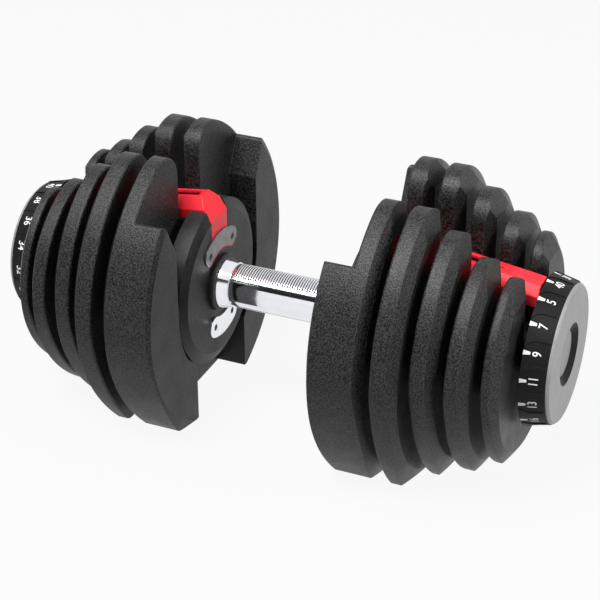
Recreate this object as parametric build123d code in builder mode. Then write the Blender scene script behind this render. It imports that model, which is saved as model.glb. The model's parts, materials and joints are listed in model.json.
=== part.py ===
"""Dial-type adjustable dumbbell, in millimetres.

+X runs along the grip, +Z is up and the origin lies on the floor under the middle of the grip.
Everything is drawn for the right-hand head; the left-hand head is the same set of pieces
turned half a turn about the upright axis.
"""
import os
from math import asin, atan2, cos, degrees, radians, sin, sqrt, tan

from build123d import *

os.makedirs("parts", exist_ok=True)

# Weight plates, listed from the hand outwards
plate_units = (6, 4, 3, 2, 1)  # share of the load, in steps of the dial
plate_thicknesses = (18.0, 18.4, 17.2, 16.0, 12.2)
plate_half_widths = (120.0, 119.0, 107.0, 102.5, 90.0)  # at the waist, the widest line
plate_waists = (4.0, 4.0, 7.0, 6.0, 2.0)  # height of the widest line above the grip axis
plate_horn_heights = (115.0, 114.0, 100.0, 83.5, 72.5)  # above the grip axis
plate_foot_depths = (101.0, 101.0, 99.0, 92.0, 81.0)  # below the grip axis
plate_foot_half_widths = (68.0, 68.0, 46.0, 40.0, 38.0)
plate_gap = 6.5  # between one plate and the next
first_plate_gap = 8.0  # inner disc to the innermost plate's slab
waist_crease = 9.0  # degrees between the two flanks at the widest line
waist_round = 40.0  # softens that crease
slot_half_width = 17.0
slot_lip_radius = 20.0  # horn corner towards the slot
horn_half_width = 45.3  # outer corner of a horn's tip, before it is rounded
horn_corner_radius = 28.0  # horn corner towards the flank
horn_flat = 0.5  # least flat left on a horn's top between its two corners
foot_corner_radius = 9.0
edge_round = 2.0  # hand-side edges of the plates
bevel_depth = 6.0  # along the grip
bevel_width = 9.5  # along the outer face
tip_bevel_height = 17.0  # down the outer face from a horn's tip
slot_bevel_width = 12.0  # along the outer face, beside the slot

# Thick bosses of the innermost plate, one on each side of the inner disc
boss_set_back = 1.5  # behind the inner disc's face
boss_room = 3.5  # round the inner disc
boss_foot_half_gap = 43.0
boss_shoulder = 58.0  # height where the boss's top starts to lean outwards
boss_lean = 27.5  # degrees off upright
boss_corner_radius = 3.0  # top corner, where the leaning side meets the flank
boss_bevel_depth = 2.5
boss_bevel_width = 5.0

# Lugs that the selectors catch
lug_half_width = 6.0
lug_height = 9.5

# Shaft, selector tube and selector discs
shaft_radius = 8.0
tube_wall = 4.0
tube_flat_depth = 1.8  # of the two flats that drive the discs
key_gap = 0.05  # round the tube in what it drives
running_gap = 0.15  # round a turning tube
side_gap = 0.6  # beside turning discs
slide_gap = 0.3  # between pieces that pass each other
disc_web = 2.2
disc_radius = 41.5
catch_rim = 5.0  # radial height of the catch rim
dial_steps = 17

# Inner disc and its cover
disc_face_x = 60.0  # half the space for the hand
inner_disc_radius = 66.5
inner_disc_depth = 17.0
inner_disc_bevel_depth = 3.5
inner_disc_bevel_width = 8.5
inner_disc_wall = 4.0
cover_thickness = 3.0
cover_gap = 0.2
cover_screw_count = 4
cover_screw_inset = 12.5  # from the inner disc's rim
cover_screw_radius = 2.0
cover_screw_length = 10.0
cover_screw_head_radius = 3.6
cover_screw_head_height = 2.0
cover_post_radius = 5.0

# Grip and collars
grip_radius = 16.75
collar_length = 10.0
collar_wall = 0.85
collar_flare = 2.5
collar_lip = 1.6
collar_ring_thickness = 3.5
collar_ring_step = 2.7  # beyond the collar's lip
collar_ring_chamfer = 0.8
grub_screw_radius = 2.5
grub_screw_offset = 3.5  # from the collar
grub_screw_tilt = 38.0  # below the front of the grip
grub_screw_sink = 0.6

# Kidney-shaped plates on the inner disc's face
kidney_ring = 36.5  # radius of their centre line
chrome_plate_width = 17.0
chrome_plate_half_angle = 24.0
chrome_plate_thickness = 1.7
label_plate_width = 16.0
label_plate_half_angle = 31.5
label_plate_thickness = 1.2
kidney_screw_radius = 1.5
kidney_screw_head_radius = 2.6
kidney_screw_head_height = 0.5
kidney_screw_sink = 0.3  # heads lie this far below the plate
kidney_screw_gap = 0.1  # round the heads
kidney_screw_bite = 3.0  # into the inner disc

# Bridge over the selectors; its heights are measured from the selector discs' rim
bridge_side_gap = 3.2  # to the plates' slots
bridge_foot_rise = 0.5
bridge_nose_rise = 16.0
bridge_crest_rise = 33.2
bridge_end_rise = 14.0
bridge_nose_run = 11.0  # from the inner disc's face to the crest
bridge_end_gap = 0.3  # past the end support
bridge_crest_half_width = 6.2
bridge_end_half_width = 7.7
bridge_depth = 15.5  # from the crest line to the lower edge
bridge_shoulder_drop = 8.5  # from the crest line to the side wall
bridge_wall = 2.8
bridge_roof = 2.4
bridge_edge_round = 0.6
window_half_width = 3.9
window_set_back = 4.0  # behind the crest's front
window_end_inset = 26.5
window_point_length = 23.0
pointer_length = 15.0
pointer_width = 1.6
pointer_depth = 0.8
bridge_screw_radius = 1.6
bridge_screw_length = 11.0
bridge_screw_rise = 6.0  # above the bridge's foot
bridge_screw_inset = 5.8  # from the bridge's sides
bridge_screw_head_radius = 3.2
bridge_screw_head_height = 2.0

# End support between the outermost plate and the dial
support_plate_gap = 1.4  # outermost plate to the support
support_thickness = 3.0
support_ring_wall = 7.0

# Dial
dial_back_gap = 2.1  # end support to the dial's rim
dial_hub_gap = 0.9  # end support to the dial's hub
dial_length = 20.7  # rim's back edge to the face
dial_back_radius = 57.7
dial_rim_length = 16.7
dial_rim_end_radius = 54.0
dial_face_radius = 52.4
dial_face_thickness = 2.5
dial_face_bevel = 1.6
dial_wall = 3.2
dial_front_wall = 4.5
dial_hub_wall = 5.0
dish_radius = 23.3  # at the face
dish_floor_radius = 18.0
dish_depth = 3.5
dish_wall = 3.0
dish_lip = 0.3
hub_cap_thickness = 1.5
hub_cap_gap = 0.15
hub_cap_chamfer = 0.4
washer_overlap = 1.4  # beyond the selector tube
washer_thickness = 1.5
end_screw_radius = 4.0
end_screw_length = 16.0
end_screw_head_radius = 6.5
end_screw_head_height = 2.6
panel_depth = 0.7  # recessed number panels in the dial's rim
panel_half_width = 8.8
panel_arch_offset = 8.2  # centre of the arch from the rim's back edge

# Index wheel and its leaf spring, inside the inner disc
index_wheel_width = 4.0
index_wheel_inset = 1.5  # inside the selector discs' rim
index_notch_radius = 3.2
leaf_gap = 0.4  # leaf's nose to the wheel's crest
leaf_nose_radius = 3.0
leaf_thickness = 1.0
leaf_half_length = 22.0
leaf_block_length = 9.0
leaf_block_height = 7.0
leaf_screw_radius = 1.2
leaf_screw_length = 4.5
leaf_screw_head_radius = 1.9
leaf_screw_head_height = 1.3

# Hexagon sockets of all screws
socket_share = 0.5  # of the head's radius
socket_depth_share = 0.6  # of the head's height

# Values that follow from the sizes above
axis_height = max(plate_foot_depths)
plate_count = len(plate_thicknesses)
wall_x = disc_face_x + inner_disc_wall
disc_back_x = disc_face_x + inner_disc_depth
cover_x = disc_back_x - cover_thickness
boss_face_x = disc_face_x + boss_set_back
boss_bore_radius = inner_disc_radius + boss_room
plate_faces = []  # (hand-side face, outer face) of each slab
next_face = disc_back_x + first_plate_gap
for thickness in plate_thicknesses:
    plate_faces.append((next_face, next_face + thickness))
    next_face += thickness + plate_gap
support_x = plate_faces[-1][1] + support_plate_gap
support_end_x = support_x + support_thickness

tube_radius = shaft_radius + tube_wall
tube_flat = tube_radius - tube_flat_depth
hub_radius = slot_half_width - slide_gap
step_angle = 360.0 / dial_steps
catch_length = plate_gap - disc_web - 2 * side_gap
catch_radius = disc_radius - catch_rim
lug_bottom = sqrt((catch_radius - slide_gap) ** 2 - lug_half_width**2)
cover_screw_ring = inner_disc_radius - cover_screw_inset

ring_x = disc_face_x - collar_ring_thickness
collar_end_x = ring_x - collar_length
collar_end_radius = grip_radius + collar_wall
collar_lip_radius = collar_end_radius + collar_flare
collar_ring_radius = collar_lip_radius + collar_ring_step
grub_screw_x = collar_end_x - grub_screw_offset

bridge_half_width = slot_half_width - bridge_side_gap
bridge_foot_height = disc_radius + bridge_foot_rise
bridge_nose_height = disc_radius + bridge_nose_rise
bridge_crest_height = disc_radius + bridge_crest_rise
bridge_end_height = disc_radius + bridge_end_rise
bridge_crest_x = disc_face_x + bridge_nose_run
bridge_end_x = support_end_x + bridge_end_gap
crest_slope = (bridge_end_height - bridge_crest_height) / (bridge_end_x - bridge_crest_x)
window_start_x = bridge_crest_x + window_set_back
window_end_x = bridge_end_x - window_end_inset

dial_back_x = support_end_x + dial_back_gap
dial_hub_x = support_end_x + dial_hub_gap
dial_rim_end_x = dial_back_x + dial_rim_length
dial_face_x = dial_back_x + dial_length
face_seat_x = dial_face_x - dial_face_thickness
dial_front_x = face_seat_x - dial_front_wall
dial_hub_radius = tube_radius + dial_hub_wall
dish_floor_x = dial_face_x - dish_depth
cap_seat_x = dish_floor_x - hub_cap_thickness
washer_radius = tube_radius + washer_overlap
washer_x = cap_seat_x - end_screw_head_height - washer_thickness - side_gap
tube_start_x = wall_x + 2 * side_gap
tube_end_x = washer_x - running_gap

wheel_radius = disc_radius - index_wheel_inset
wheel_x = (wall_x + cover_x - index_wheel_width) / 2
leaf_height = wheel_radius + leaf_gap + leaf_nose_radius

grip_axis = Axis((0, 0, axis_height), (1, 0, 0))
long_section = Plane(origin=(0, 0, axis_height), x_dir=(1, 0, 0), z_dir=(0, -1, 0))


def section(x):
    """Plane square to the grip at x, with local x along +Y and local y up from the grip axis."""
    return Plane(origin=(x, 0, axis_height), x_dir=(0, 1, 0), z_dir=(1, 0, 0))


def on_axis(angle, radius):
    """Point of a section at an angle from straight up, counted towards +Y."""
    return (radius * sin(radians(angle)), radius * cos(radians(angle)))


def hand_in(piece, name):
    """Write one piece under its own name."""
    piece.label = name
    export_step(piece, f"parts/{name}.step")


def hand_in_pair(piece, name):
    """Write a head's piece twice: as drawn, and turned round for the left-hand head."""
    for side, turn in (("right", 0), ("left", 180)):
        with BuildPart() as placed:
            add(piece, rotation=(0, 0, turn))
        hand_in(placed.part, f"{side}_{name}")


def hand_in_set(piece, name):
    """Write the like fasteners of both heads as one group of separate solids."""
    with BuildPart() as both:
        add(piece)
        add(piece, rotation=(0, 0, 180))
    hand_in(both.part, name)


def turned(*points):
    """Solid turned about the grip axis from an outline of (x, radius) points."""
    with BuildPart() as piece:
        with BuildSketch(long_section):
            with BuildLine():
                Polyline(*points, close=True)
            make_face()
        revolve(axis=grip_axis)
    return piece.part


def outermost(vertices):
    """Vertices ordered by their distance from the upright middle line of a section."""
    return vertices.sort_by(lambda vertex: abs(vertex.X))


def upper_flank(index):
    """Centre offset and radius of the arc from one plate's waist up to its horn's outer corner."""
    half_width = plate_half_widths[index]
    rise = plate_horn_heights[index] - plate_waists[index]
    lean = half_width - horn_half_width
    radius = (lean**2 + rise**2) / (2 * lean)
    return half_width - radius, radius


def horn_corner(index):
    """Radius of a horn's outer corner, no larger than the flat on the horn's top leaves room for."""
    offset, radius = upper_flank(index)
    rise = plate_horn_heights[index] - plate_waists[index]
    run = slot_half_width + slot_lip_radius + horn_flat - offset
    return min(horn_corner_radius, (radius**2 - rise**2 - run**2) / (2 * (radius - rise)))


def plate_outline(index):
    """Face of one plate: round flanks, a flat foot, and an open slot between two horns."""
    half_width = plate_half_widths[index]
    waist = plate_waists[index]
    horn = plate_horn_heights[index]
    depth = plate_foot_depths[index]
    foot = plate_foot_half_widths[index]
    offset, radius = upper_flank(index)
    rise = degrees(asin((horn - waist) / radius))
    chord_y, chord_z = foot - half_width, -depth - waist
    bulge = tan((atan2(-chord_y, -chord_z) - radians(waist_crease)) / 2) / 2
    bulge_y = (half_width + foot) / 2 - bulge * chord_z
    bulge_z = (waist - depth) / 2 + bulge * chord_y
    with BuildSketch() as outline:
        with BuildLine():
            Line((0, horn), (horn_half_width, horn))
            CenterArc((offset, waist), radius, 0, rise)
            ThreePointArc((half_width, waist), (bulge_y, bulge_z), (foot, -depth))
            Line((foot, -depth), (0, -depth))
            Line((0, -depth), (0, horn))
        make_face()
        mirror(about=Plane.YZ)
        fillet(outermost(outline.vertices())[-2:], waist_round)
        fillet(outermost(outline.vertices().group_by(Axis.Y)[0])[-2:], foot_corner_radius)
        with Locations((0, horn / 2)):
            Rectangle(2 * slot_half_width, horn, mode=Mode.SUBTRACT)
        Circle(slot_half_width, mode=Mode.SUBTRACT)
        fillet(outermost(outline.vertices().group_by(Axis.Y)[-1])[:2], slot_lip_radius)
        fillet(outermost(outline.vertices().group_by(Axis.Y)[-1])[-2:], horn_corner(index))
    return outline.sketch


def tip_plane(index):
    """Plane that bevels the outer face towards the tips of both horns."""
    start = Vector(plate_faces[index][1], 0, axis_height + plate_horn_heights[index] - tip_bevel_height)
    return Plane(origin=start, x_dir=(0, 1, 0), z_dir=(tip_bevel_height, 0, bevel_depth))


def bevel_section(face_x, rim_x, rim, width):
    """Outline of what a bevel cuts away, as (x, distance) points, from the rim inwards by width."""
    run = (face_x - rim_x) / width
    return (
        (rim_x - run * width, rim + width),
        (face_x + run * width, rim - width - width),
        (face_x + run * width, rim + width),
    )


def ring_bevel(index, face_x, rim_x, width):
    """Cutter for a bevel round one plate's flanks, from the rim at rim_x to the face at face_x."""
    offset, radius = upper_flank(index)
    arcs = (
        (offset, radius, 0, 90),
        (0, plate_half_widths[index], 90, 180),
        (-offset, radius, 270, 90),
    )
    with BuildPart() as cutter:
        for centre_y, rim, first_angle, arc in arcs:
            centre = (0, centre_y, axis_height + plate_waists[index])
            first = radians(first_angle)
            spoke = Plane(origin=centre, x_dir=(1, 0, 0), z_dir=(0, -cos(first), sin(first)))
            with BuildSketch(spoke):
                with BuildLine():
                    Polyline(*bevel_section(face_x, rim_x, rim, width), close=True)
                make_face()
            revolve(axis=Axis(centre, (-1, 0, 0)), revolution_arc=arc)
    return cutter.part


def slot_bevel(index):
    """Cutter for the bevel along the slot's two walls and round its bottom."""
    outer = plate_faces[index][1]
    run = bevel_depth / slot_bevel_width
    points = (
        (outer - bevel_depth - run * slide_gap, slot_half_width - slide_gap),
        (outer + bevel_depth, slot_half_width + slot_bevel_width + bevel_depth / run),
        (outer + bevel_depth, slot_half_width - slide_gap),
    )
    with BuildPart() as cutter:
        with BuildSketch(Plane.XY.offset(axis_height)):
            with BuildLine():
                Polyline(*points, close=True)
            make_face()
        extrude(amount=plate_horn_heights[index])
        mirror(about=Plane.XZ)
        with BuildSketch(Plane.XY.offset(axis_height)):
            with BuildLine():
                Polyline(*points, close=True)
            make_face()
        revolve(axis=Axis((0, 0, axis_height), (-1, 0, 0)), revolution_arc=180)
    return cutter.part


def make_slab(index):
    """One plate's slab: outline, rounded hand-side edges, bevelled outer face and a catch lug."""
    inner, outer = plate_faces[index]
    with BuildPart() as slab:
        with BuildSketch(section(inner)):
            add(plate_outline(index))
        extrude(amount=outer - inner)
        fillet(slab.faces().sort_by(Axis.X)[0].edges(), edge_round)
        add(ring_bevel(index, outer, outer - bevel_depth, bevel_width), mode=Mode.SUBTRACT)
        add(slot_bevel(index), mode=Mode.SUBTRACT)
        split(bisect_by=tip_plane(index), keep=Keep.BOTTOM)
        with BuildSketch(section(inner)):
            with Locations((0, -lug_bottom + lug_height / 2)):
                Rectangle(2 * lug_half_width, lug_height)
        extrude(amount=-catch_length)
    return slab.part


def make_bosses():
    """The two thick blocks that stand out from the innermost slab towards the hand."""
    slab_x = plate_faces[0][0]
    horn = plate_horn_heights[0]
    depth = plate_foot_depths[0]
    lean = tan(radians(boss_lean)) * (horn - boss_shoulder)
    with BuildPart() as bosses:
        with BuildSketch(section(boss_face_x)) as outline:
            add(plate_outline(0))
            Circle(boss_bore_radius, mode=Mode.SUBTRACT)
            with Locations((0, -depth / 2)):
                Rectangle(2 * boss_foot_half_gap, depth, mode=Mode.SUBTRACT)
            with BuildLine():
                Polyline(
                    (-boss_bore_radius, 0),
                    (-boss_bore_radius, boss_shoulder),
                    (-boss_bore_radius - lean, horn),
                    (boss_bore_radius + lean, horn),
                    (boss_bore_radius, boss_shoulder),
                    (boss_bore_radius, 0),
                    close=True,
                )
            make_face(mode=Mode.SUBTRACT)
            fillet(outline.vertices().group_by(Axis.Y)[-1], boss_corner_radius)
        extrude(amount=slab_x + edge_round - boss_face_x)
        rim_x = boss_face_x + boss_bevel_depth
        add(ring_bevel(0, boss_face_x, rim_x, boss_bevel_width), mode=Mode.SUBTRACT)
    return bosses.part


for index in range(plate_count):
    with BuildPart() as plate:
        add(make_slab(index))
        if index == 0:
            add(make_bosses())
    hand_in_pair(plate.part, f"plate_{index + 1}")


def double_d(gap):
    """Section of the selector tube, round with two flats, with a gap all round."""
    with BuildSketch() as outline:
        Circle(tube_radius + gap)
        Rectangle(2 * (tube_flat + gap), 2 * (tube_radius + gap), mode=Mode.INTERSECT)
    return outline.sketch


def kidney(middle_angle, half_angle, width):
    """Plate outline that follows a ring round the grip, with round ends."""
    with BuildSketch() as outline:
        start, end = middle_angle - half_angle, middle_angle + half_angle
        SlotArc(Edge.make_circle(kidney_ring, start_angle=start, end_angle=end), width)
    return outline.sketch


def kidney_seats(x, middle_angle, half_angle):
    """Planes on the hand side of a kidney-shaped plate, at the centres of its round ends."""
    seats = []
    for angle in (middle_angle - half_angle, middle_angle + half_angle):
        y = kidney_ring * cos(radians(angle))
        z = kidney_ring * sin(radians(angle))
        seats.append(Plane(origin=(x, y, axis_height + z), z_dir=(-1, 0, 0)))
    return seats


def screws(seats, radius, length, head_radius, head_height):
    """Socket screws whose heads stand on the given planes."""
    tops = [seat.offset(head_height) for seat in seats]
    with BuildPart() as group:
        with BuildSketch(*seats):
            Circle(head_radius)
        extrude(amount=head_height)
        with BuildSketch(*seats):
            Circle(radius)
        extrude(amount=-length)
        with BuildSketch(*tops):
            RegularPolygon(socket_share * head_radius, 6)
        extrude(amount=-socket_depth_share * head_height, mode=Mode.SUBTRACT)
    return group.part


# Shaft, grip and grub screws
with BuildPart() as centre_shaft:
    with BuildSketch(section(-washer_x)):
        Circle(shaft_radius)
    extrude(amount=2 * washer_x)
    shaft_ends = [section(washer_x), Plane(origin=(-washer_x, 0, axis_height), z_dir=(-1, 0, 0))]
    with Locations(*shaft_ends):
        Hole(end_screw_radius, depth=end_screw_length)
hand_in(centre_shaft.part, "centre_shaft")

grub_direction = Vector(0, cos(radians(grub_screw_tilt)), -sin(radians(grub_screw_tilt)))
grub_origin = Vector(grub_screw_x, 0, axis_height) + grub_direction * shaft_radius
grub_seat = Plane(origin=grub_origin, z_dir=grub_direction)
with BuildPart() as grub_screw:
    with BuildSketch(grub_seat):
        Circle(grub_screw_radius)
    extrude(amount=grip_radius - shaft_radius - grub_screw_sink)
    with BuildSketch(grub_seat.offset(grip_radius - shaft_radius - grub_screw_sink)):
        RegularPolygon(socket_share * grub_screw_radius, 6)
    extrude(amount=-grub_screw_radius, mode=Mode.SUBTRACT)
hand_in_set(grub_screw.part, "grub_screws")

with BuildPart() as grub_hole:
    with BuildSketch(grub_seat):
        Circle(grub_screw_radius)
    extrude(amount=grip_radius)

with BuildPart() as grip:
    with BuildSketch(section(-disc_face_x)):
        Circle(grip_radius)
        Circle(shaft_radius, mode=Mode.SUBTRACT)
    extrude(amount=2 * disc_face_x)
    add(grub_hole.part, mode=Mode.SUBTRACT)
    add(grub_hole.part, rotation=(0, 0, 180), mode=Mode.SUBTRACT)
hand_in(grip.part, "grip")

# Collar and the black ring behind it
collar = turned(
    (collar_end_x, grip_radius),
    (collar_end_x, collar_end_radius),
    (ring_x - collar_lip, collar_lip_radius),
    (ring_x, collar_lip_radius),
    (ring_x, grip_radius),
)
hand_in_pair(collar, "collar")

collar_ring = turned(
    (ring_x, grip_radius),
    (ring_x, collar_ring_radius - collar_ring_chamfer),
    (ring_x + collar_ring_chamfer, collar_ring_radius),
    (disc_face_x, collar_ring_radius),
    (disc_face_x, grip_radius),
)
hand_in_pair(collar_ring, "collar_ring")

# Kidney-shaped plates and their screws
top, bottom = 90, 270
kidneys = (
    ("label", top, label_plate_half_angle, label_plate_width, label_plate_thickness),
    ("chrome", bottom, chrome_plate_half_angle, chrome_plate_width, chrome_plate_thickness),
)
head_recess = kidney_screw_head_height + kidney_screw_sink
for name, middle_angle, half_angle, width, thickness in kidneys:
    with BuildPart() as kidney_plate:
        with BuildSketch(section(disc_face_x)):
            add(kidney(middle_angle, half_angle, width))
        extrude(amount=-thickness)
        with Locations(*kidney_seats(disc_face_x - thickness, middle_angle, half_angle)):
            CounterBoreHole(
                kidney_screw_radius, kidney_screw_head_radius + kidney_screw_gap, head_recess, depth=thickness
            )
    hand_in_pair(kidney_plate.part, f"{name}_plate")
    head_seats = kidney_seats(disc_face_x - thickness + head_recess, middle_angle, half_angle)
    kidney_screws = screws(
        head_seats,
        kidney_screw_radius,
        thickness - head_recess + kidney_screw_bite,
        kidney_screw_head_radius,
        kidney_screw_head_height,
    )
    hand_in_set(kidney_screws, f"{name}_screws")

# Inner disc: a round cup with posts for its cover and a block for the leaf spring
leaf_block_y = leaf_half_length - leaf_block_length / 2
leaf_block_z = -leaf_height - leaf_thickness - leaf_block_height / 2
leaf_screw_seat = Plane(
    origin=(wheel_x + index_wheel_width / 2, leaf_block_y, axis_height - leaf_height), z_dir=(0, 0, 1)
)
post_angle = 360 / cover_screw_count / 2
rim_bore = inner_disc_radius - inner_disc_wall
notch_half_width = bridge_half_width + cover_gap
with BuildPart() as inner_disc:
    add(
        turned(
            (disc_face_x, shaft_radius),
            (disc_face_x, inner_disc_radius - inner_disc_bevel_width),
            (disc_face_x + inner_disc_bevel_depth, inner_disc_radius),
            (disc_back_x, inner_disc_radius),
            (disc_back_x, rim_bore),
            (wall_x, rim_bore),
            (wall_x, shaft_radius),
        )
    )
    with BuildSketch(section(wall_x)):
        with PolarLocations(cover_screw_ring, cover_screw_count, start_angle=post_angle):
            Circle(cover_post_radius)
    extrude(amount=cover_x - wall_x)
    with BuildSketch(section(wall_x)):
        with Locations((leaf_block_y, leaf_block_z)):
            Rectangle(leaf_block_length, leaf_block_height)
    extrude(amount=wheel_x + index_wheel_width - wall_x)
    with BuildSketch(section(disc_face_x)):
        with Locations((0, (bridge_foot_height + inner_disc_radius) / 2)):
            Rectangle(2 * notch_half_width, inner_disc_radius - bridge_foot_height)
    extrude(amount=inner_disc_depth, mode=Mode.SUBTRACT)
    with BuildSketch(section(disc_back_x)):
        with PolarLocations(cover_screw_ring, cover_screw_count, start_angle=post_angle):
            Circle(cover_screw_radius)
    extrude(amount=-cover_screw_length, mode=Mode.SUBTRACT)
    for name, middle_angle, half_angle, width, thickness in kidneys:
        with Locations(*kidney_seats(disc_face_x, middle_angle, half_angle)):
            Hole(kidney_screw_radius, depth=kidney_screw_bite)
    with Locations(leaf_screw_seat):
        Hole(leaf_screw_radius, depth=leaf_screw_length)
hand_in_pair(inner_disc.part, "inner_disc")


def crest(x):
    """Height of the bridge's crest line above the grip axis."""
    return bridge_crest_height + crest_slope * (x - bridge_crest_x)


# Cover of the inner disc, notched at the top where the bridge passes over it
cover_notch_height = crest(disc_back_x) - bridge_depth - cover_gap
bridge_screw_y = bridge_half_width - bridge_screw_inset
bridge_screw_z = bridge_foot_height + bridge_screw_rise
bridge_screw_seats = [
    Plane(origin=(disc_back_x, side * bridge_screw_y, axis_height + bridge_screw_z), z_dir=(1, 0, 0))
    for side in (1, -1)
]
cover_screw_seats = []
for number in range(cover_screw_count):
    y, z = on_axis(post_angle + 360 / cover_screw_count * number, cover_screw_ring)
    cover_screw_seats.append(Plane(origin=(disc_back_x, y, axis_height + z), z_dir=(1, 0, 0)))

with BuildPart() as inner_cover:
    with BuildSketch(section(cover_x)):
        Circle(rim_bore - cover_gap)
        Circle(tube_radius + running_gap, mode=Mode.SUBTRACT)
        with Locations((0, (cover_notch_height + inner_disc_radius) / 2)):
            Rectangle(2 * notch_half_width, inner_disc_radius - cover_notch_height, mode=Mode.SUBTRACT)
    extrude(amount=cover_thickness)
    with Locations(*cover_screw_seats):
        Hole(cover_screw_radius, depth=cover_thickness)
    with Locations(*bridge_screw_seats):
        Hole(bridge_screw_radius, depth=cover_thickness)
hand_in_pair(inner_cover.part, "inner_cover")

cover_screws = screws(
    cover_screw_seats,
    cover_screw_radius,
    cover_screw_length,
    cover_screw_head_radius,
    cover_screw_head_height,
)
hand_in_set(cover_screws, "cover_screws")

bridge_screws = screws(
    bridge_screw_seats,
    bridge_screw_radius,
    bridge_screw_length,
    bridge_screw_head_radius,
    bridge_screw_head_height,
)
hand_in_set(bridge_screws, "bridge_screws")


def bridge_flank(side, inset):
    """Sloping plane from the bridge's crest down to one side wall, moved inwards by inset."""
    front = Vector(bridge_crest_x, side * bridge_crest_half_width, axis_height + bridge_crest_height)
    end = Vector(bridge_end_x, side * bridge_end_half_width, axis_height + bridge_end_height)
    low = Vector(bridge_crest_x, side * bridge_half_width, front.Z - bridge_shoulder_drop)
    normal = (end - front).cross(low - front)
    if normal.Z < 0:
        normal = -normal
    return Plane(origin=front, x_dir=end - front, z_dir=normal).offset(-inset)


def bridge_bar(inset, *points):
    """Bar of the given side outline with the bridge's sloping flanks, all moved inwards by inset."""
    with BuildPart() as bar:
        with BuildSketch(long_section):
            with BuildLine():
                Polyline(*points, close=True)
            make_face()
        extrude(amount=bridge_half_width - inset, both=True)
        for side in (1, -1):
            split(bisect_by=bridge_flank(side, inset), keep=Keep.BOTTOM)
    return bar.part


# Bridge: a leg in the inner disc's notch and a channel that runs out to the dial
bridge_low_end = bridge_end_height - bridge_depth
open_end_x = bridge_end_x + bridge_wall
with BuildPart() as bridge:
    add(
        bridge_bar(
            0,
            (disc_face_x, bridge_foot_height),
            (disc_face_x, bridge_nose_height),
            (bridge_crest_x, bridge_crest_height),
            (bridge_end_x, bridge_end_height),
            (bridge_end_x, bridge_low_end),
            (cover_x, crest(cover_x) - bridge_depth),
            (cover_x, bridge_foot_height),
        )
    )
    fillet(bridge.edges(), bridge_edge_round)
    add(
        bridge_bar(
            bridge_wall,
            (cover_x, bridge_low_end - bridge_wall),
            (cover_x, crest(cover_x) - bridge_roof),
            (open_end_x, crest(open_end_x) - bridge_roof),
            (open_end_x, bridge_low_end - bridge_wall),
        ),
        mode=Mode.SUBTRACT,
    )
    with BuildSketch(Plane.XY.offset(axis_height + bridge_low_end)):
        with BuildLine():
            Polyline(
                (window_start_x, -window_half_width),
                (window_end_x - window_point_length, -window_half_width),
                (window_end_x, 0),
                (window_end_x - window_point_length, window_half_width),
                (window_start_x, window_half_width),
                close=True,
            )
        make_face()
    extrude(amount=bridge_crest_height, mode=Mode.SUBTRACT)
    with BuildSketch(long_section):
        with BuildLine():
            Polyline(
                (bridge_end_x - pointer_length, crest(bridge_end_x - pointer_length) - pointer_depth),
                (bridge_end_x - pointer_length, bridge_crest_height),
                (open_end_x, bridge_crest_height),
                (open_end_x, crest(open_end_x) - pointer_depth),
                close=True,
            )
        make_face()
    extrude(amount=pointer_width / 2, both=True, mode=Mode.SUBTRACT)
    with Locations(*bridge_screw_seats):
        Hole(bridge_screw_radius, depth=bridge_screw_length)
hand_in_pair(bridge.part, "bridge")

# End support: a ring round the selector tube with an arm up inside the bridge
with BuildPart() as end_support:
    add(
        bridge_bar(
            bridge_wall,
            (support_x, 0),
            (support_x, crest(support_end_x) - bridge_roof - slide_gap),
            (support_end_x, crest(support_end_x) - bridge_roof - slide_gap),
            (support_end_x, 0),
        )
    )
    with BuildSketch(section(support_x)):
        Circle(tube_radius + support_ring_wall)
    extrude(amount=support_thickness)
    with BuildSketch(section(support_x)):
        Circle(tube_radius + running_gap)
    extrude(amount=support_thickness, mode=Mode.SUBTRACT)
hand_in_pair(end_support.part, "end_support")

# Selector tube, round the shaft
with BuildPart() as selector_tube:
    with BuildSketch(section(tube_start_x)):
        add(double_d(0))
        Circle(shaft_radius + running_gap, mode=Mode.SUBTRACT)
    extrude(amount=tube_end_x - tube_start_x)
hand_in_pair(selector_tube.part, "selector_tube")


def steps_with(index):
    """Dial steps at which one plate is taken up, filling each load with the heaviest plates first."""
    taken = []
    for step in range(dial_steps):
        left = step
        for number, units in enumerate(plate_units):
            if units <= left:
                left -= units
                if number == index:
                    taken.append(step)
    return taken


# Selector discs: a web and hub on the tube, with a catch rim wherever the plate is taken up
for index in range(plate_count):
    slab_x, slab_end_x = plate_faces[index]
    catch_x = slab_x - side_gap - catch_length
    hub_end_x = support_x - side_gap
    if index + 1 < plate_count:
        hub_end_x = plate_faces[index + 1][0] - side_gap - catch_length - disc_web
    with BuildPart() as selector_disc:
        with BuildSketch(section(catch_x - disc_web)):
            Circle(disc_radius)
        extrude(amount=disc_web)
        with BuildSketch(section(catch_x)):
            Circle(hub_radius)
        extrude(amount=hub_end_x - catch_x)
        with BuildSketch(section(catch_x)):
            for step in steps_with(index):
                middle = radians(bottom + step * step_angle)
                half = radians(step_angle / 2)
                reach = disc_radius / cos(half)
                with BuildLine():
                    Polyline(
                        (0, 0),
                        (reach * cos(middle - half), reach * sin(middle - half)),
                        (reach * cos(middle + half), reach * sin(middle + half)),
                        close=True,
                    )
                make_face()
            Circle(disc_radius, mode=Mode.INTERSECT)
            Circle(catch_radius, mode=Mode.SUBTRACT)
        extrude(amount=catch_length)
        with BuildSketch(section(catch_x - disc_web)):
            add(double_d(key_gap))
        extrude(amount=hub_end_x - catch_x + disc_web, mode=Mode.SUBTRACT)
    hand_in_pair(selector_disc.part, f"selector_disc_{index + 1}")

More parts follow.
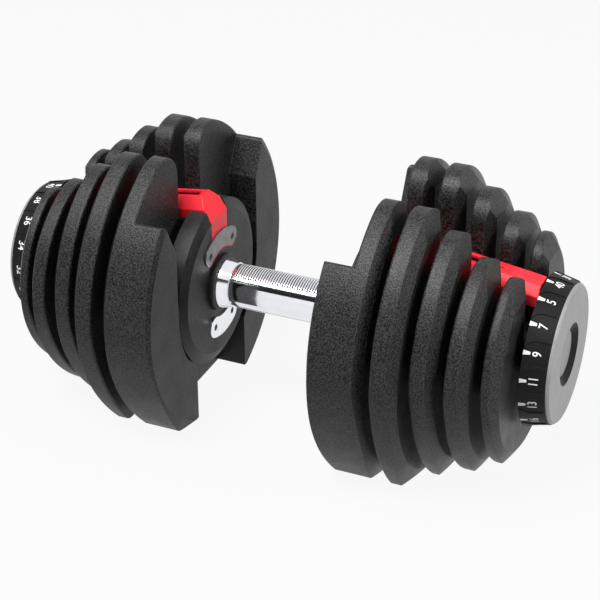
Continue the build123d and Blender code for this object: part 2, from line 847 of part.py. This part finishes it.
# Index wheel with one notch per step of the dial
with BuildPart() as index_wheel:
    with BuildSketch(section(wheel_x)):
        Circle(wheel_radius)
        with PolarLocations(wheel_radius, dial_steps, start_angle=bottom):
            Circle(index_notch_radius, mode=Mode.SUBTRACT)
        add(double_d(key_gap), mode=Mode.SUBTRACT)
    extrude(amount=index_wheel_width)
hand_in_pair(index_wheel.part, "index_wheel")

# Leaf spring under the index wheel, with a round nose in its middle
with BuildPart() as detent_leaf:
    with BuildSketch(section(wheel_x)):
        with Locations((0, -leaf_height - leaf_thickness / 2)):
            Rectangle(2 * leaf_half_length, leaf_thickness)
        with BuildLine():
            CenterArc((0, -leaf_height), leaf_nose_radius, 0, 180)
            Line((-leaf_nose_radius, -leaf_height), (leaf_nose_radius, -leaf_height))
        make_face()
    extrude(amount=index_wheel_width)
    with Locations(leaf_screw_seat):
        Hole(leaf_screw_radius, depth=leaf_thickness)
hand_in_pair(detent_leaf.part, "detent_leaf")

detent_screws = screws(
    [leaf_screw_seat],
    leaf_screw_radius,
    leaf_screw_length,
    leaf_screw_head_radius,
    leaf_screw_head_height,
)
hand_in_set(detent_screws, "detent_screws")


def rim_radius(x):
    """Radius of the dial's conical rim."""
    run = (x - dial_back_x) / dial_rim_length
    return dial_back_radius + run * (dial_rim_end_radius - dial_back_radius)


# Number panel: an arched recess in the dial's rim, open towards the plates and the face
with BuildPart() as number_panel:
    add(
        turned(
            (dial_hub_x, rim_radius(dial_hub_x) - panel_depth),
            (dial_hub_x, dial_back_radius + panel_half_width),
            (dial_face_x, dial_back_radius + panel_half_width),
            (dial_face_x, rim_radius(dial_face_x) - panel_depth),
        )
    )
    with BuildSketch(Plane.XY.offset(axis_height)):
        with Locations((dial_back_x + panel_arch_offset, 0)):
            Circle(panel_half_width)
        with Locations((dial_back_x + panel_arch_offset + dial_length / 2, 0)):
            Rectangle(dial_length, 2 * panel_half_width)
    extrude(amount=2 * dial_back_radius, mode=Mode.INTERSECT)

# Dial: hub, dished middle, front wall and conical rim
dish_outer = dish_floor_radius + dish_wall
with BuildPart() as dial:
    add(
        turned(
            (dial_hub_x, tube_flat / 2),
            (dial_hub_x, dial_hub_radius),
            (cap_seat_x - dish_wall, dial_hub_radius),
            (cap_seat_x - dish_wall, dish_outer),
            (dial_front_x, dish_outer),
            (dial_front_x, rim_radius(dial_front_x) - dial_wall),
            (dial_back_x, dial_back_radius - dial_wall),
            (dial_back_x, dial_back_radius),
            (dial_rim_end_x, dial_rim_end_radius),
            (face_seat_x, dial_face_radius),
            (face_seat_x, dish_radius + dish_lip),
            (dial_face_x, dish_radius + dish_lip),
            (dial_face_x, dish_radius),
            (dish_floor_x, dish_floor_radius),
            (cap_seat_x, dish_floor_radius),
            (cap_seat_x, washer_radius + side_gap),
            (tube_end_x, washer_radius + side_gap),
            (tube_end_x, tube_flat / 2),
        )
    )
    with BuildSketch(section(dial_hub_x)):
        add(double_d(key_gap))
    extrude(amount=tube_end_x - dial_hub_x, mode=Mode.SUBTRACT)
    for step in range(dial_steps):
        add(number_panel.part.rotate(grip_axis, step * step_angle), mode=Mode.SUBTRACT)
hand_in_pair(dial.part, "dial")

dial_face = turned(
    (face_seat_x, dish_radius + dish_lip + hub_cap_gap),
    (face_seat_x, dial_face_radius),
    (dial_face_x - dial_face_bevel, dial_face_radius),
    (dial_face_x, dial_face_radius - dial_face_bevel),
    (dial_face_x, dish_radius + dish_lip + hub_cap_gap),
)
hand_in_pair(dial_face, "dial_face")

with BuildPart() as hub_cap:
    with BuildSketch(section(cap_seat_x)):
        Circle(dish_floor_radius - hub_cap_gap)
    extrude(amount=hub_cap_thickness)
    chamfer(hub_cap.edges().sort_by(Axis.X)[-1], hub_cap_chamfer)
hand_in_pair(hub_cap.part, "hub_cap")

# Washer and screw on each end of the shaft
end_washer = turned(
    (washer_x, end_screw_radius),
    (washer_x, washer_radius),
    (washer_x + washer_thickness, washer_radius),
    (washer_x + washer_thickness, end_screw_radius),
)
hand_in_set(end_washer, "end_washers")

end_screws = screws(
    [section(washer_x + washer_thickness)],
    end_screw_radius,
    washer_thickness + end_screw_length,
    end_screw_head_radius,
    end_screw_head_height,
)
hand_in_set(end_screws, "end_screws")
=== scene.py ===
"""Looks for the adjustable dumbbell: finishes, knurled grip, painted dial numbers, light and camera."""

import json
from math import cos, pi, radians, sin

import bpy
import numpy as np
from mathutils import Matrix, Quaternion, Vector


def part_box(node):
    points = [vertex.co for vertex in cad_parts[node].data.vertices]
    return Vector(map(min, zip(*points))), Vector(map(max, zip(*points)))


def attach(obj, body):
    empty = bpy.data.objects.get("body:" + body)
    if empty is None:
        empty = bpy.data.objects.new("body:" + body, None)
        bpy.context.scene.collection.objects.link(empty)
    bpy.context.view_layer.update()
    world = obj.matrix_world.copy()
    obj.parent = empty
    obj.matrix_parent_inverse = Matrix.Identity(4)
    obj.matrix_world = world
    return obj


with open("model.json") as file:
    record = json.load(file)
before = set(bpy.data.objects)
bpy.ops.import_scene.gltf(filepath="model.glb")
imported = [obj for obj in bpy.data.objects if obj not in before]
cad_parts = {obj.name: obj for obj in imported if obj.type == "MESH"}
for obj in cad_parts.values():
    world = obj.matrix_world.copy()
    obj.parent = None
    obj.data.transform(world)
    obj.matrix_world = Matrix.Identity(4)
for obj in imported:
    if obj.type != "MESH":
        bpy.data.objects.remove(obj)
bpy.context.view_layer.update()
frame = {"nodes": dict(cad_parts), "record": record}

mm = 0.001

# Axis of the grip and both dials, above the floor
mounts = {mount["name"]: mount for mount in frame["record"]["mounts"]}
axis_height = mounts["grip"]["pos_m"][2]

# Grip: ribbed panels on top and underneath, between the two collars
grip_radius = 16.75 * mm
rib_pitch = 2.05 * mm
rib_height = 0.45 * mm
# Painted shade in the knurl: the grooves, shadow teeth at the panel's edges and a line across each end are
# dark in the chrome's colour
groove_shade_top = 0.6
groove_shade_blend = 0.3
tooth_shadow_length = 1.3 * mm
tooth_shadow_growth = 0.25
end_shade_width = 1.0 * mm
panel_half_length = 43.8 * mm
panel_half_angle = radians(42)
panel_fade = 1.0 * mm
panel_corner = 1.6 * mm
panel_base = 0.05 * mm
panel_lift = 0.06 * mm
panel_sink = 0.25 * mm
panel_backing = 0.6 * mm

# Dial rim: a shallow cone with one recessed panel for each setting
settings = (40, 5, 7, 9, 11, 13, 16, 18, 20, 22, 25, 27, 29, 32, 34, 36, 38)
rim_back_x = 199.3 * mm
rim_back_radius = 57.7 * mm
rim_front_radius = 54.0 * mm
rim_length = 16.7 * mm
rim_slope = (rim_front_radius - rim_back_radius) / rim_length
recess_depth = 0.7 * mm
digit_height = 6.5 * mm
digit_squeeze = 0.85
digit_weight = 0.006
digit_centre_x = 208.85 * mm
tick_length = 5.0 * mm
tick_back_width = 3.5 * mm
tick_front_width = 2.0 * mm
paint_thickness = 0.12 * mm

# Red margin along the lower edge of the bare label plate, on the hand side of each head
label_ring = 36.5 * mm
label_half_angle = radians(31.5)
label_half_width = 8 * mm
label_face_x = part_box("right_label_plate")[0].x
margin_inset = 0.9 * mm
margin_width = 0.7 * mm

# Camera, as the photograph was taken, for a square picture: lens and sensor in millimetres
camera_azimuth = radians(23.805)
camera_elevation = radians(29.24)
camera_roll = radians(-0.308)
camera_distance = 1.349
camera_lens = 105.17
camera_sensor = 36
camera_shift = (0.01417, -0.00653)

# Finishes: the span that holds most of a noise pattern's values, and tones that several share
noise_low = 0.3
noise_high = 0.7
edge_samples = 6
sheen_drift = 0.05
chrome_dark = (0.8, 0.81, 0.84)
chrome_light = (0.86, 0.87, 0.9)


def grey(level):
    """A grey with a trace of blue."""
    return (level, level, level * 1.02)


def new_finish(name, metallic=0.0, roughness=0.5):
    """A new material, with its node tree and its surface shader."""
    material = bpy.data.materials.new(name)
    material.use_nodes = True
    tree = material.node_tree
    shader = tree.nodes["Principled BSDF"]
    shader.inputs["Roughness"].default_value = roughness
    shader.inputs["Metallic"].default_value = metallic
    return material, tree, shader


def grain(tree, size, detail=2.0, spread=0.5):
    """Noise in the object's own space, with features about as large as size."""
    place = tree.nodes.new("ShaderNodeTexCoord")
    noise = tree.nodes.new("ShaderNodeTexNoise")
    noise.inputs["Scale"].default_value = 1 / size
    noise.inputs["Detail"].default_value = detail
    noise.inputs["Roughness"].default_value = spread
    tree.links.new(place.outputs["Object"], noise.inputs["Vector"])
    return noise.outputs["Fac"]


def ramp(tree, factor, low, high, start=noise_low, end=noise_high):
    """A colour that runs from low to high as the factor runs from start to end."""
    node = tree.nodes.new("ShaderNodeValToRGB")
    node.color_ramp.elements[0].position = start
    node.color_ramp.elements[0].color = (*low, 1)
    node.color_ramp.elements[1].position = end
    node.color_ramp.elements[1].color = (*high, 1)
    tree.links.new(factor, node.inputs["Fac"])
    return node.outputs["Color"]


def spread_value(tree, factor, low, high, start=noise_low, end=noise_high):
    """A value that runs from low to high as the factor runs from start to end."""
    node = tree.nodes.new("ShaderNodeMapRange")
    node.inputs["From Min"].default_value = start
    node.inputs["From Max"].default_value = end
    node.inputs["To Min"].default_value = low
    node.inputs["To Max"].default_value = high
    tree.links.new(factor, node.inputs["Value"])
    return node.outputs["Result"]


def mixed(tree, factor, first, second):
    """The first colour where the factor is 0, the second where it is 1."""
    node = tree.nodes.new("ShaderNodeMix")
    node.data_type = "RGBA"
    tree.links.new(factor, node.inputs["Factor"])
    tree.links.new(first, node.inputs["A"])
    tree.links.new(second, node.inputs["B"])
    return node.outputs["Result"]


def soft_edge(tree, radius):
    """Normals rounded over the edges by this radius."""
    node = tree.nodes.new("ShaderNodeBevel")
    node.samples = edge_samples
    node.inputs["Radius"].default_value = radius
    return node.outputs["Normal"]


def edge_mask(tree, normal, edge, flat):
    """0 on flat ground and 1 on an edge, from the cosine between the rounded normal and the face's own."""
    face = tree.nodes.new("ShaderNodeNewGeometry")
    lean = tree.nodes.new("ShaderNodeVectorMath")
    lean.operation = "DOT_PRODUCT"
    tree.links.new(normal, lean.inputs[0])
    tree.links.new(face.outputs["True Normal"], lean.inputs[1])
    return spread_value(tree, lean.outputs["Value"], low=0.0, high=1.0, start=flat, end=edge)


def bump(tree, height, depth, strength, normal):
    """Rounded normals, pushed about by a height map of this depth."""
    node = tree.nodes.new("ShaderNodeBump")
    node.inputs["Distance"].default_value = depth
    node.inputs["Strength"].default_value = strength
    tree.links.new(height, node.inputs["Height"])
    tree.links.new(normal, node.inputs["Normal"])
    return node.outputs["Normal"]


def coated_iron():
    """Cast iron under a thick black coat: pebble grain, cloudy sheen, and paler edges that are partly
    rubbed wear and partly a painted highlight.
    """
    material, tree, shader = new_finish("coated_iron")
    shader.inputs["Specular IOR Level"].default_value = 0.24
    pebbles = grain(tree, size=1.1 * mm, spread=0.6)
    clouds = grain(tree, size=22 * mm, detail=3.0)
    rounded = soft_edge(tree, radius=1.1 * mm)
    coat = ramp(tree, pebbles, grey(0.0), grey(0.034), start=0.44, end=0.58)
    # Paler edges: partly rubbed wear, partly a painted highlight along the rounded edges
    rubbed_and_highlit = ramp(tree, clouds, grey(0.03), grey(0.08))
    colour = mixed(tree, edge_mask(tree, rounded, edge=0.8, flat=0.97), coat, rubbed_and_highlit)
    sheen = spread_value(tree, clouds, low=0.36, high=0.46)
    relief = bump(tree, pebbles, depth=0.4 * mm, strength=0.8, normal=rounded)
    tree.links.new(colour, shader.inputs["Base Color"])
    tree.links.new(sheen, shader.inputs["Roughness"])
    tree.links.new(relief, shader.inputs["Normal"])
    return material


def moulded(name, dark, light, roughness, pebble, depth, edge, shine=0.25):
    """Moulded plastic: a tone that drifts from dark to light, a fine speckled grain and softened edges."""
    material, tree, shader = new_finish(name)
    shader.inputs["Specular IOR Level"].default_value = shine
    pebbles = grain(tree, size=pebble, spread=0.6)
    clouds = grain(tree, size=14 * mm, detail=3.0)
    rounded = soft_edge(tree, radius=edge)
    tone = ramp(tree, clouds, dark, light)
    speckle = ramp(tree, pebbles, dark, light, start=0.42, end=0.6)
    sheen = spread_value(tree, clouds, low=roughness - sheen_drift, high=roughness + sheen_drift)
    relief = bump(tree, pebbles, depth, strength=0.7, normal=rounded)
    tree.links.new(mixed(tree, clouds, tone, speckle), shader.inputs["Base Color"])
    tree.links.new(sheen, shader.inputs["Roughness"])
    tree.links.new(relief, shader.inputs["Normal"])
    return material


def metal(name, dark, light, smooth, rough, edge, stroke):
    """Bare metal: its tone and its shine both drift a little, with faint tool marks of this size."""
    material, tree, shader = new_finish(name, metallic=1.0)
    drift = grain(tree, size=9 * mm, detail=3.0)
    marks = grain(tree, size=stroke)
    rounded = soft_edge(tree, radius=edge)
    relief = bump(tree, marks, depth=0.01 * mm, strength=0.15, normal=rounded)
    tree.links.new(ramp(tree, drift, dark, light), shader.inputs["Base Color"])
    tree.links.new(spread_value(tree, marks, smooth, rough), shader.inputs["Roughness"])
    tree.links.new(relief, shader.inputs["Normal"])
    return material


def knurled_chrome():
    """Chrome with painted shade in its grooves: the panel's own shade attribute runs from 0 on a rib to 1.
    """
    material, tree, shader = new_finish("knurled_chrome", metallic=1.0)
    attribute = tree.nodes.new("ShaderNodeAttribute")
    attribute.attribute_name = "groove_shade"
    groove_shade = attribute.outputs["Fac"]
    drift = grain(tree, size=9 * mm, detail=3.0)
    bright = ramp(tree, drift, chrome_dark, chrome_light)
    # Painted shade: near-black chrome in the grooves, at the panel's edges and across its ends
    dark = ramp(tree, drift, grey(0.015), grey(0.04))
    sheen = spread_value(tree, groove_shade, low=0.1, high=0.5, start=0.0, end=1.0)
    tree.links.new(mixed(tree, groove_shade, bright, dark), shader.inputs["Base Color"])
    tree.links.new(sheen, shader.inputs["Roughness"])
    return material


def painted(name, level, faded=0.92):
    """Thick white print: nearly even, with a faint mottle down to a faded share of its level."""
    material, tree, shader = new_finish(name)
    mottle = grain(tree, size=1.5 * mm)
    colour = ramp(tree, mottle, grey(level * faded), grey(level), end=0.6)
    tree.links.new(colour, shader.inputs["Base Color"])
    return material


finishes = {
    "plate_iron": coated_iron(),
    "black_plastic": moulded(
        "black_plastic", grey(0.003), grey(0.026),
        roughness=0.44, pebble=1.1 * mm, depth=0.3 * mm, edge=0.6 * mm,
    ),
    "grey_plastic": moulded(
        "grey_plastic", grey(0.05), grey(0.08),
        roughness=0.5, pebble=0.8 * mm, depth=0.1 * mm, edge=0.4 * mm,
    ),
    "red_plastic": moulded(
        "red_plastic", (0.74, 0.016, 0.028), (0.82, 0.026, 0.04),
        roughness=0.34, pebble=0.8 * mm, depth=0.05 * mm, edge=0.9 * mm,
    ),
    "silver_plastic": moulded(
        "silver_plastic", grey(0.2), grey(0.36),
        roughness=0.38, pebble=0.5 * mm, depth=0.05 * mm, edge=0.8 * mm,
    ),
    "label_grey": metal(
        "satin_label", grey(0.17), grey(0.24),
        smooth=0.3, rough=0.44, edge=0.3 * mm, stroke=0.4 * mm,
    ),
    "chrome": metal(
        "chrome", chrome_dark, chrome_light,
        smooth=0.05, rough=0.1, edge=0.35 * mm, stroke=3 * mm,
    ),
    "steel": metal(
        "dark_steel", grey(0.03), grey(0.06),
        smooth=0.3, rough=0.45, edge=0.2 * mm, stroke=0.6 * mm,
    ),
}
dial_black = moulded(
    "dial_black", grey(0.001), grey(0.008),
    roughness=0.5, pebble=1.1 * mm, depth=0.1 * mm, edge=0.4 * mm, shine=0.15,
)
node_finishes = {"right_dial": dial_black, "left_dial": dial_black}
knurl_finish = knurled_chrome()
dial_paint = painted("dial_paint", level=0.86)

for subpart in frame["record"]["subparts"]:
    node = frame["nodes"][subpart["node"]]
    finish = node_finishes.get(subpart["node"], finishes[subpart["material_slot"]])
    node.data.materials.clear()
    node.data.materials.append(finish)


def add_piece(name, points, faces, finish, body, smooth=False):
    """A new piece from points and faces, in place, riding on one body."""
    mesh = bpy.data.meshes.new(name)
    mesh.from_pydata(points.tolist(), [], faces)
    mesh.polygons.foreach_set("use_smooth", np.full(len(faces), smooth))
    mesh.materials.append(finish)
    piece = bpy.data.objects.new(name, mesh)
    bpy.context.scene.collection.objects.link(piece)
    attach(piece, body)
    return piece


def tube_faces(rings, loop):
    """Quads of a tube whose points are numbered ring by ring, and one face on each end."""
    corner = np.arange(loop)
    start = np.arange(rings - 1)[:, None] * loop
    here = (start + corner).ravel()
    beside = (start + np.roll(corner, -1)).ravel()
    quads = np.stack([here, beside, beside + loop, here + loop], axis=1).tolist()
    return [*quads, corner[::-1].tolist(), (corner + (rings - 1) * loop).tolist()]


def around_axis(x, angle, radius):
    """Points at an angle from straight up, towards the front, at a radius from the grip's axis."""
    across = -radius * np.sin(angle)
    up = axis_height + radius * np.cos(angle)
    return np.stack([np.broadcast_to(x, np.shape(across)), across, up], axis=-1)


def knurled_panel(name, turn):
    """A ribbed panel on the grip, over a grid of place along the grip and angle round it, closed behind.

    Its radius is the grip's, less a little, plus the size of a cosine of the place along the grip:
    round crests and sharp valleys. They fade out towards the panel's edge, by the distance inside a
    rectangle with rounded corners, and outside that the panel sinks below the grip's surface.
    The attribute that darkens the chrome is painted shade: 1 low on the ridge and 0 above the shade's top,
    which rises to a painted shadow at the panel's edges, and 1 all over in a painted dark line across each
    end.
    """
    rows = 560
    columns = 90
    back_columns = 12
    along = np.linspace(-panel_half_length, panel_half_length, rows)[:, None]
    round_grip = np.linspace(-panel_half_angle, panel_half_angle, columns)[None, :]
    half_width = grip_radius * panel_half_angle
    beyond_x = np.maximum(np.abs(along) - panel_half_length + panel_corner, 0)
    beyond_y = np.maximum(np.abs(round_grip) * grip_radius - half_width + panel_corner, 0)
    inside = panel_corner - np.hypot(beyond_x, beyond_y)
    fade = np.clip(inside / panel_fade, 0, 1)
    fade = fade * fade * (3 - 2 * fade)
    ridge = np.abs(np.cos(pi * along / rib_pitch))
    sunk = np.where(inside > 0, 0, panel_sink)
    radius = grip_radius - panel_base - sunk + fade * (panel_lift + rib_height * ridge)
    back_angle = np.linspace(panel_half_angle, -panel_half_angle, back_columns)[None, :]
    back_radius = np.full((rows, back_columns), grip_radius - panel_backing)
    front = around_axis(along, round_grip + turn, radius)
    back = around_axis(along, back_angle + turn, back_radius)
    points = np.concatenate([front, back], axis=1)
    faces = tube_faces(rows, columns + back_columns)
    panel = add_piece(name, points.reshape(-1, 3), faces, knurl_finish, "handle", smooth=True)
    # Painted shade: darker grooves, widening into shadow teeth near the edges, and a dark line across each
    # end
    tooth_shadow = 1 - np.clip(inside / tooth_shadow_length, 0, 1)
    shade_between_ribs = np.clip((groove_shade_top + tooth_shadow_growth * tooth_shadow - ridge) / groove_shade_blend, 0, 1)
    end_shade_line = np.abs(along) > panel_half_length - end_shade_width
    groove_shade = np.maximum(shade_between_ribs, end_shade_line) * (inside > 0)
    groove_shade = np.concatenate([groove_shade, np.zeros((rows, back_columns))], axis=1)
    panel.data.attributes.new("groove_shade", "FLOAT", "POINT").data.foreach_set("value", groove_shade.ravel())


knurled_panel("grip_knurl_top", 0.0)
knurled_panel("grip_knurl_under", pi)


def label_margin(name, side):
    """Painted margin on a label plate: a thin rectangle carried along the lower half of its outline.

    The path runs round half of one end, along the ring's inner arc and round half of the other end.
    Each point is a centre on the ring plus a reach along the outline's normal, just inside the edge.
    """
    end_points = 12
    arc_points = 40
    quarter = np.linspace(0, pi / 2, end_points)
    sweep = np.linspace(label_half_angle, -label_half_angle, arc_points)
    end = np.full(end_points - 1, label_half_angle)
    middle_angle = np.concatenate([end, sweep, -end])[:, None]
    normal_angle = np.concatenate([
        label_half_angle + pi / 2 + quarter[:-1],
        sweep + pi,
        pi - label_half_angle + quarter[1:],
    ])[:, None]
    reach = label_half_width - margin_inset + np.array([0, margin_width, margin_width, 0])
    rise = np.array([paint_thickness, paint_thickness, 0, 0])
    across = label_ring * np.sin(middle_angle) + reach * np.sin(normal_angle)
    up = axis_height + label_ring * np.cos(middle_angle) + reach * np.cos(normal_angle)
    along = np.broadcast_to(label_face_x - rise, across.shape)
    points = np.stack([side * along, side * across, up], axis=-1).reshape(-1, 3)
    faces = tube_faces(*across.shape)
    add_piece(name, points, faces, finishes["red_plastic"], "handle")


label_margin("right_label_margin", 1)
label_margin("left_label_margin", -1)


def flat_digits(number):
    """Points and faces of one number lying flat: centred, reading along X, with its height along Y."""
    curve = bpy.data.curves.new("digits", "FONT")
    curve.body = str(number)
    # Any thickness serves: the paint's own is set below
    curve.extrude = 1.0
    curve.offset = digit_weight
    writing = bpy.data.objects.new("digits", curve)
    mesh = bpy.data.meshes.new_from_object(writing)
    points = np.empty(len(mesh.vertices) * 3)
    mesh.vertices.foreach_get("co", points)
    points = points.reshape(-1, 3)
    faces = [tuple(face.vertices) for face in mesh.polygons]
    bpy.data.objects.remove(writing)
    bpy.data.curves.remove(curve)
    bpy.data.meshes.remove(mesh)
    lowest = points.min(axis=0)
    highest = points.max(axis=0)
    points = (points - (lowest + highest) / 2) / (highest - lowest)[1]
    points[:, 0] *= digit_squeeze
    points[:, :2] *= digit_height
    points[:, 2] = np.sign(points[:, 2]) * paint_thickness / 2
    return points, faces


def flat_tick():
    """Points and faces of one tick mark lying flat: a wedge with its wide end up."""
    middle = digit_centre_x - rim_back_x
    profile = [
        (-tick_back_width / 2, middle),
        (-tick_front_width / 2, middle - tick_length),
        (tick_front_width / 2, middle - tick_length),
        (tick_back_width / 2, middle),
    ]
    under = [(x, y, -paint_thickness / 2) for x, y in profile]
    over = [(x, y, paint_thickness / 2) for x, y in profile]
    return np.array(under + over), tube_faces(2, len(profile))


def on_panel(points, step, side):
    """Flat print laid on a number panel.

    Its height runs back along the dial's axis, its width round the axis and its thickness outwards
    from the panel's floor, which follows the rim's cone. The left dial is the right one turned half round.
    """
    x = digit_centre_x - points[:, 1]
    floor = rim_back_radius + rim_slope * (x - rim_back_x) - recess_depth
    angle = 2 * pi * step / len(settings) - points[:, 0] / floor
    laid = around_axis(x, angle, floor + points[:, 2])
    return laid * np.array([side, side, 1])


def dial_print(name, side, body):
    """All the numbers and ticks of one dial as one piece."""
    points = []
    faces = []
    count = 0
    for step, setting in enumerate(settings):
        for flat, outline in (flat_digits(setting), flat_tick()):
            points.append(on_panel(flat, step, side))
            faces += [tuple(corner + count for corner in face) for face in outline]
            count += len(flat)
    add_piece(name, np.concatenate(points), faces, dial_paint, body)


dial_print("right_dial_numbers", 1, "right_dial_set")
dial_print("left_dial_numbers", -1, "left_dial_set")


def flat_sheet(name, width, height, place, turn, finish):
    """A rectangle with its middle at a place, turned from lying level."""
    corners = [Vector((x * width / 2, y * height / 2, 0)) for x, y in ((-1, -1), (1, -1), (1, 1), (-1, 1))]
    mesh = bpy.data.meshes.new(name)
    mesh.from_pydata([place + turn @ corner for corner in corners], [], [(0, 1, 2, 3)])
    mesh.materials.append(finish)
    sheet = bpy.data.objects.new(name, mesh)
    bpy.context.scene.collection.objects.link(sheet)
    return sheet


def seen_directly(tree):
    """1 for rays from the camera, in reflections and through glass, and 0 for light on surfaces."""
    path = tree.nodes.new("ShaderNodeLightPath")
    first = tree.nodes.new("ShaderNodeMath")
    second = tree.nodes.new("ShaderNodeMath")
    for node in (first, second):
        node.operation = "MAXIMUM"
    tree.links.new(path.outputs["Is Camera Ray"], first.inputs[0])
    tree.links.new(path.outputs["Is Glossy Ray"], first.inputs[1])
    tree.links.new(first.outputs["Value"], second.inputs[0])
    tree.links.new(path.outputs["Is Transmission Ray"], second.inputs[1])
    return second.outputs["Value"]


# Floor: plain and pale, nearly white to the camera and in reflections, with the object's shadow on it
floor_width = 8.0
floor_drop = 0.2 * mm
floor_tone = 0.4
floor_glow_share = 0.92
floor_finish, floor_tree, floor_shader = new_finish("pale_floor", roughness=0.9)
floor_shader.inputs["Base Color"].default_value = (floor_tone, floor_tone, floor_tone, 1)
floor_shader.inputs["Specular IOR Level"].default_value = 0.0
floor_glow = floor_tree.nodes.new("ShaderNodeEmission")
floor_mix = floor_tree.nodes.new("ShaderNodeMixShader")
glow_share = spread_value(
    floor_tree, seen_directly(floor_tree), low=0.0, high=floor_glow_share, start=0.0, end=1.0
)
floor_tree.links.new(glow_share, floor_mix.inputs["Fac"])
floor_tree.links.new(floor_shader.outputs["BSDF"], floor_mix.inputs[1])
floor_tree.links.new(floor_glow.outputs["Emission"], floor_mix.inputs[2])
floor_tree.links.new(floor_mix.outputs["Shader"], floor_tree.nodes["Material Output"].inputs["Surface"])
floor_middle = Vector((0, 0, -floor_drop))
floor = flat_sheet("floor", floor_width, floor_width, floor_middle, Quaternion(), floor_finish)

# Room: soft even light, and white where it is seen
room_strength = 0.14
world = bpy.data.worlds.new("room")
world.use_nodes = True
bpy.context.scene.world = world
room = world.node_tree
room_light = room.nodes["Background"]
room_light.inputs["Color"].default_value = (1, 1, 1, 1)
room_light.inputs["Strength"].default_value = room_strength
room_white = room.nodes.new("ShaderNodeBackground")
room_white.inputs["Color"].default_value = (1, 1, 1, 1)
room_mix = room.nodes.new("ShaderNodeMixShader")
room.links.new(seen_directly(room), room_mix.inputs["Fac"])
room.links.new(room_light.outputs["Background"], room_mix.inputs[1])
room.links.new(room_white.outputs["Background"], room_mix.inputs[2])
room.links.new(room_mix.outputs["Shader"], room.nodes["World Output"].inputs["Surface"])

middle = Vector((0, 0, axis_height))


def softbox(name, place, width, power):
    """A square soft light at a place, aimed at the middle of the object."""
    lamp = bpy.data.lights.new(name, "AREA")
    lamp.size = width
    lamp.energy = power
    light = bpy.data.objects.new(name, lamp)
    light.location = place
    light.rotation_euler = (middle - Vector(place)).to_track_quat("-Z", "Y").to_euler()
    bpy.context.scene.collection.objects.link(light)


softbox("key_light", place=(-0.35, -0.8, 1.95), width=1.0, power=60)
softbox("side_light", place=(1.8, -0.1, 1.2), width=0.8, power=26)

# Camera: its own axes from the azimuth, elevation and roll
towards = Vector((
    sin(camera_azimuth) * cos(camera_elevation),
    -cos(camera_azimuth) * cos(camera_elevation),
    sin(camera_elevation),
))
level_right = Vector((cos(camera_azimuth), sin(camera_azimuth), 0))
level_up = towards.cross(level_right)
right = level_right * cos(camera_roll) + level_up * sin(camera_roll)
up = level_up * cos(camera_roll) - level_right * sin(camera_roll)
lens = bpy.data.cameras.new("camera")
lens.lens = camera_lens
lens.sensor_width = camera_sensor
lens.shift_x, lens.shift_y = camera_shift
camera = bpy.data.objects.new("camera", lens)
turn = Matrix((right, up, towards)).transposed().to_4x4()
camera.matrix_world = Matrix.Translation(middle + towards * camera_distance) @ turn
bpy.context.scene.collection.objects.link(camera)
bpy.context.scene.camera = camera

# Dark card at the front left, where the grip mirrors it; only reflections see it
card_width = 1.8
card_height = 0.72
card_middle = Vector((-0.53, -1.2, 1.0))
card_turn = (card_middle - middle).to_track_quat("Z", "Y")
card_finish, _, card_shader = new_finish("dark_card", roughness=0.9)
card_shader.inputs["Base Color"].default_value = (0.01, 0.01, 0.011, 1)
card = flat_sheet("dark_card", card_width, card_height, card_middle, card_turn, card_finish)
card.visible_camera = False
card.visible_diffuse = False
card.visible_shadow = False

bpy.context.scene.view_settings.view_transform = "Standard"
